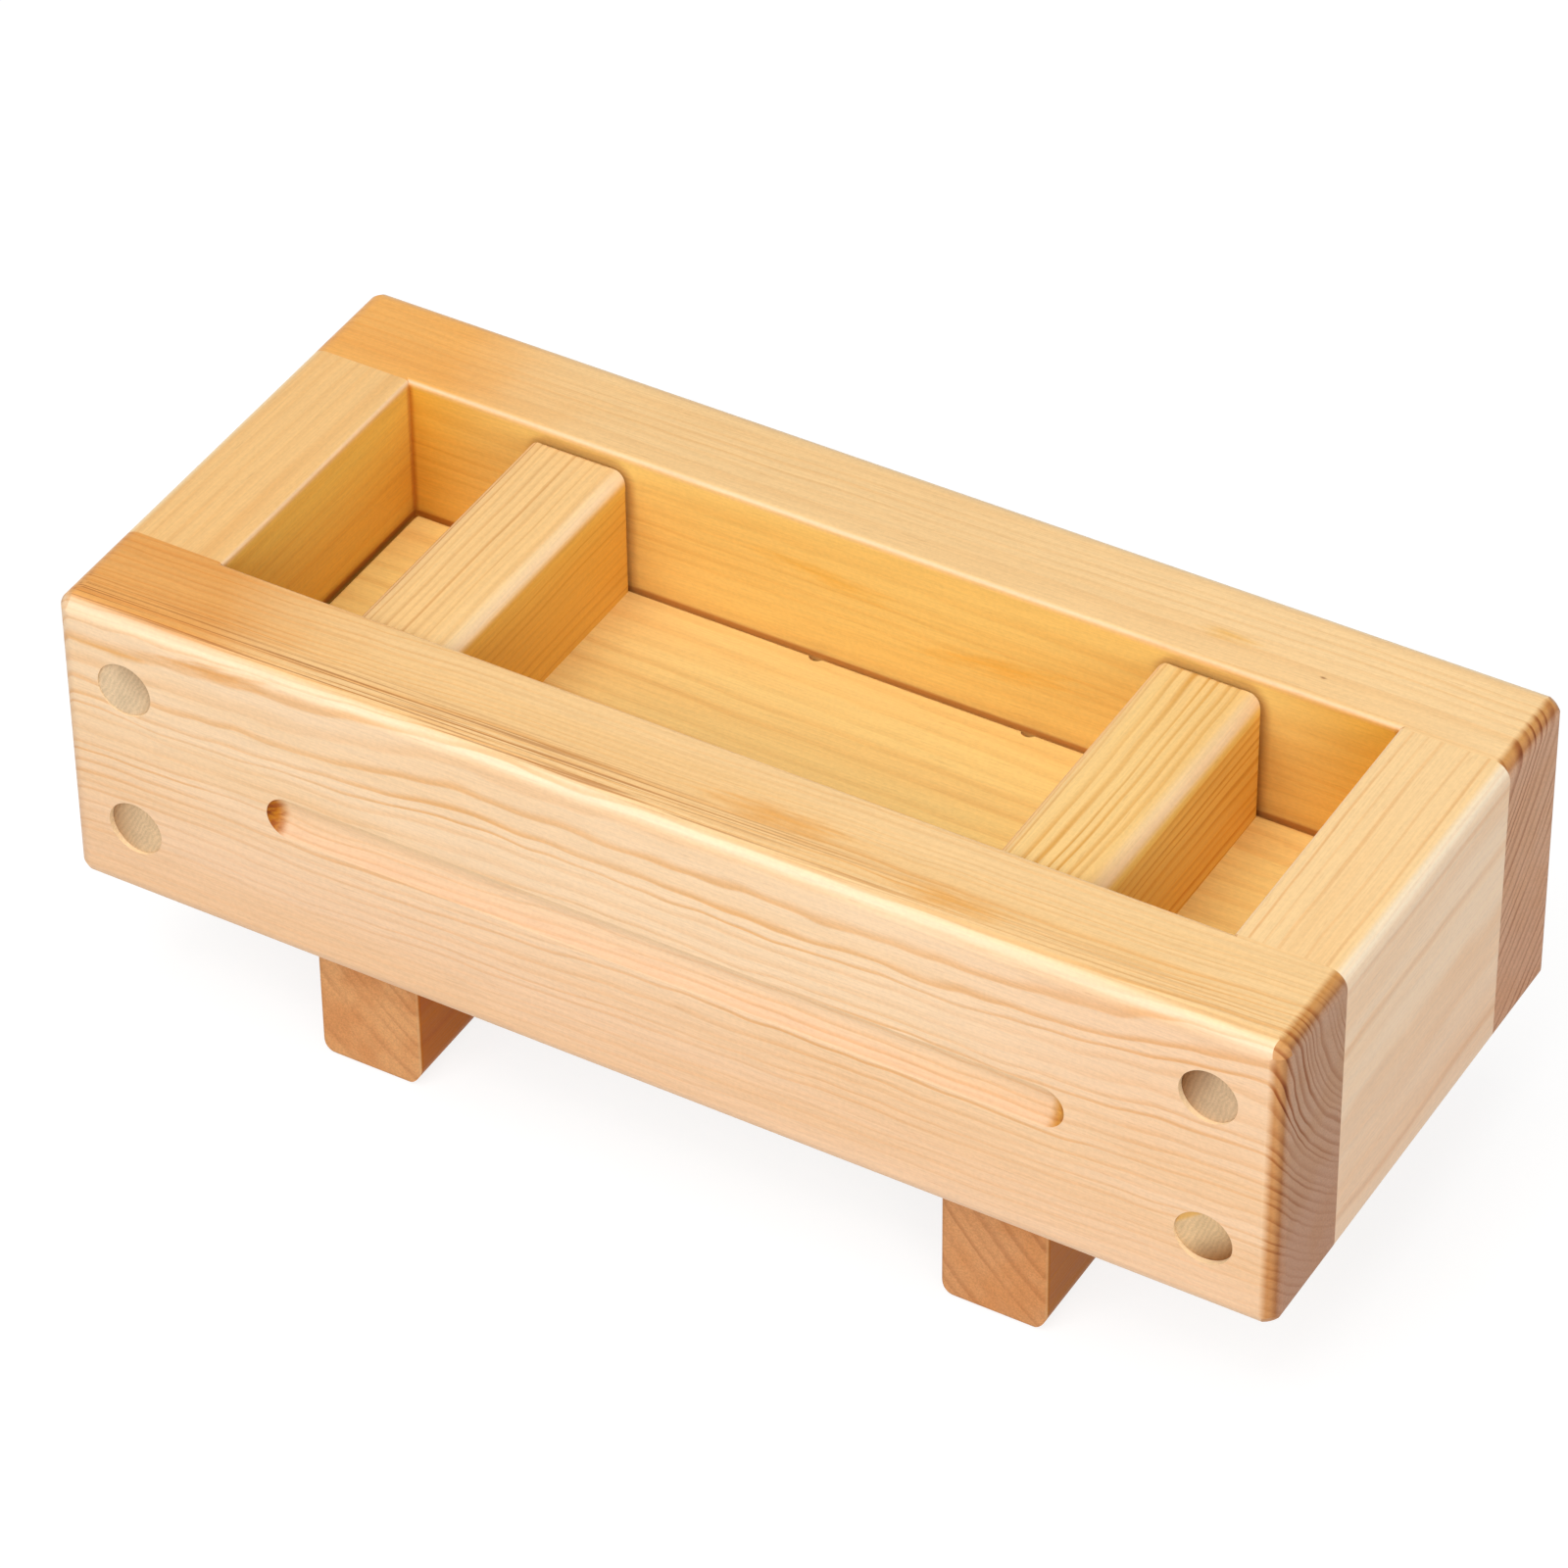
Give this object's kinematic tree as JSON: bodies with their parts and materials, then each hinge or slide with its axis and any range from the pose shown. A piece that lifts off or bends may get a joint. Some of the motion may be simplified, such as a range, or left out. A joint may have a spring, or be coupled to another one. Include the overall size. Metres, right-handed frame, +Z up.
{
  "type": "sushi rice mold press",
  "caption": "Rectangular wooden rice mould: an open pegged frame stands over a footed base board, and a loose press board with grip bars drops into it.",
  "frame": {"origin": "middle of the footprint, on the surface that the two feet stand on", "axes": "+X along the mould from the left end wall to the right one, +Y from the front rail to the rear rail, +Z up"},
  "size_m": [0.218, 0.095, 0.0825],
  "materials": {
    "front_rail": "planed and sanded, unvarnished",
    "rear_rail": "planed and sanded, unvarnished",
    "left_end_wall": "planed and sanded, unvarnished",
    "right_end_wall": "planed and sanded, unvarnished",
    "front_left_upper_peg": "planed and sanded, unvarnished",
    "front_left_lower_peg": "planed and sanded, unvarnished",
    "front_right_upper_peg": "planed and sanded, unvarnished",
    "front_right_lower_peg": "planed and sanded, unvarnished",
    "rear_left_upper_peg": "planed and sanded, unvarnished",
    "rear_left_lower_peg": "planed and sanded, unvarnished",
    "rear_right_upper_peg": "planed and sanded, unvarnished",
    "rear_right_lower_peg": "planed and sanded, unvarnished",
    "press_board": "planed and sanded, unvarnished",
    "left_grip_bar": "planed and sanded, unvarnished",
    "right_grip_bar": "planed and sanded, unvarnished",
    "left_grip_bar_front_peg": "planed and sanded, unvarnished",
    "left_grip_bar_rear_peg": "planed and sanded, unvarnished",
    "right_grip_bar_front_peg": "planed and sanded, unvarnished",
    "right_grip_bar_rear_peg": "planed and sanded, unvarnished",
    "base_board": "planed and sanded, unvarnished",
    "left_foot": "planed and sanded, unvarnished",
    "right_foot": "planed and sanded, unvarnished",
    "left_foot_front_peg": "planed and sanded, unvarnished",
    "left_foot_rear_peg": "planed and sanded, unvarnished",
    "right_foot_front_peg": "planed and sanded, unvarnished",
    "right_foot_rear_peg": "planed and sanded, unvarnished"
  },
  "bodies": {
    "base": {"base_board": "base_board", "left_foot": "left_foot", "right_foot": "right_foot", "left_foot_front_peg": "left_foot_front_peg", "left_foot_rear_peg": "left_foot_rear_peg", "right_foot_front_peg": "right_foot_front_peg", "right_foot_rear_peg": "right_foot_rear_peg"},
    "frame": {"front_rail": "front_rail", "rear_rail": "rear_rail", "left_end_wall": "left_end_wall", "right_end_wall": "right_end_wall", "front_left_upper_peg": "front_left_upper_peg", "front_left_lower_peg": "front_left_lower_peg", "front_right_upper_peg": "front_right_upper_peg", "front_right_lower_peg": "front_right_lower_peg", "rear_left_upper_peg": "rear_left_upper_peg", "rear_left_lower_peg": "rear_left_lower_peg", "rear_right_upper_peg": "rear_right_upper_peg", "rear_right_lower_peg": "rear_right_lower_peg"},
    "press": {"press_board": "press_board", "left_grip_bar": "left_grip_bar", "right_grip_bar": "right_grip_bar", "left_grip_bar_front_peg": "left_grip_bar_front_peg", "left_grip_bar_rear_peg": "left_grip_bar_rear_peg", "right_grip_bar_front_peg": "right_grip_bar_front_peg", "right_grip_bar_rear_peg": "right_grip_bar_rear_peg"}
  },
  "joints": [
    {"name": "frame_lift", "type": "slide", "parent": "base", "child": "frame", "axis": [0, 0, 1], "range_m": [0, 0.065]},
    {"name": "press_lift", "type": "slide", "parent": "base", "child": "press", "axis": [0, 0, 1], "range_m": [0, 0.11]}
  ]
}
